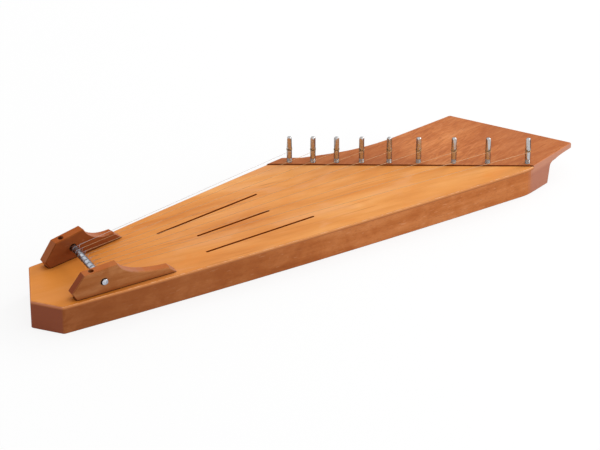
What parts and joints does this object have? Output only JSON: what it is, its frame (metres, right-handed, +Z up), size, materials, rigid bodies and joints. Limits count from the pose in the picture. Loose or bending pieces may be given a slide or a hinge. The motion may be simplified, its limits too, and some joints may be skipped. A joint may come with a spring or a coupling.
{
  "type": "gusli",
  "caption": "Wing-shaped gusli: hollow wooden body with a thin wing, soundboard, two brackets with a string rod, tuning pins and steel strings.",
  "frame": {"origin": "under the middle of the whole instrument, on the face it lies on", "axes": "+X from the nose to the wing along the near long side, +Y from the near long side to the far one, +Z up"},
  "size_m": [0.575, 0.1366, 0.0576],
  "materials": {
    "body_wood": "satin lacquer over red-brown wood",
    "soundboard_wood": "satin lacquer over straight-grained honey-coloured wood",
    "bracket_wood": "satin lacquer over brown wood",
    "raw_wood": "bare planed wood",
    "pin_steel": "bright nickel plate",
    "string_steel": "plain drawn steel wire",
    "screw_steel": "dark steel"
  },
  "bodies": {
    "instrument": {"carved_body": "body_wood", "soundboard": "soundboard_wood", "soundboard_brace_1": "raw_wood", "soundboard_brace_2": "raw_wood", "near_bracket": "bracket_wood", "far_bracket": "bracket_wood", "near_bracket_screw": "screw_steel", "far_bracket_screw": "screw_steel", "string_rod": "pin_steel", "string_1": "string_steel", "string_2": "string_steel", "string_3": "string_steel", "string_4": "string_steel", "string_5": "string_steel", "string_6": "string_steel", "string_7": "string_steel", "string_8": "string_steel", "string_9": "string_steel"},
    "pin_1": {"tuning_pin_1": "pin_steel", "string_winding_1": "string_steel"},
    "pin_2": {"tuning_pin_2": "pin_steel", "string_winding_2": "string_steel"},
    "pin_3": {"tuning_pin_3": "pin_steel", "string_winding_3": "string_steel"},
    "pin_4": {"tuning_pin_4": "pin_steel", "string_winding_4": "string_steel"},
    "pin_5": {"tuning_pin_5": "pin_steel", "string_winding_5": "string_steel"},
    "pin_6": {"tuning_pin_6": "pin_steel", "string_winding_6": "string_steel"},
    "pin_7": {"tuning_pin_7": "pin_steel", "string_winding_7": "string_steel"},
    "pin_8": {"tuning_pin_8": "pin_steel", "string_winding_8": "string_steel"},
    "pin_9": {"tuning_pin_9": "pin_steel", "string_winding_9": "string_steel"}
  },
  "joints": [
    {"name": "tune_1", "type": "hinge", "parent": "instrument", "child": "pin_1", "pos_m": [0.03108, 0.05822, 0.0302], "axis": [0, 0, 1], "continuous": true},
    {"name": "tune_2", "type": "hinge", "parent": "instrument", "child": "pin_2", "pos_m": [0.05072, 0.04702, 0.0302], "axis": [0, 0, 1], "continuous": true},
    {"name": "tune_3", "type": "hinge", "parent": "instrument", "child": "pin_3", "pos_m": [0.07036, 0.03582, 0.0302], "axis": [0, 0, 1], "continuous": true},
    {"name": "tune_4", "type": "hinge", "parent": "instrument", "child": "pin_4", "pos_m": [0.09119, 0.02394, 0.0302], "axis": [0, 0, 1], "continuous": true},
    {"name": "tune_5", "type": "hinge", "parent": "instrument", "child": "pin_5", "pos_m": [0.1142, 0.01082, 0.0302], "axis": [0, 0, 1], "continuous": true},
    {"name": "tune_6", "type": "hinge", "parent": "instrument", "child": "pin_6", "pos_m": [0.1386, -0.0031, 0.0302], "axis": [0, 0, 1], "continuous": true},
    {"name": "tune_7", "type": "hinge", "parent": "instrument", "child": "pin_7", "pos_m": [0.16796, -0.01984, 0.0302], "axis": [0, 0, 1], "continuous": true},
    {"name": "tune_8", "type": "hinge", "parent": "instrument", "child": "pin_8", "pos_m": [0.19633, -0.03602, 0.0302], "axis": [0, 0, 1], "continuous": true},
    {"name": "tune_9", "type": "hinge", "parent": "instrument", "child": "pin_9", "pos_m": [0.22946, -0.05491, 0.0302], "axis": [0, 0, 1], "continuous": true}
  ]
}
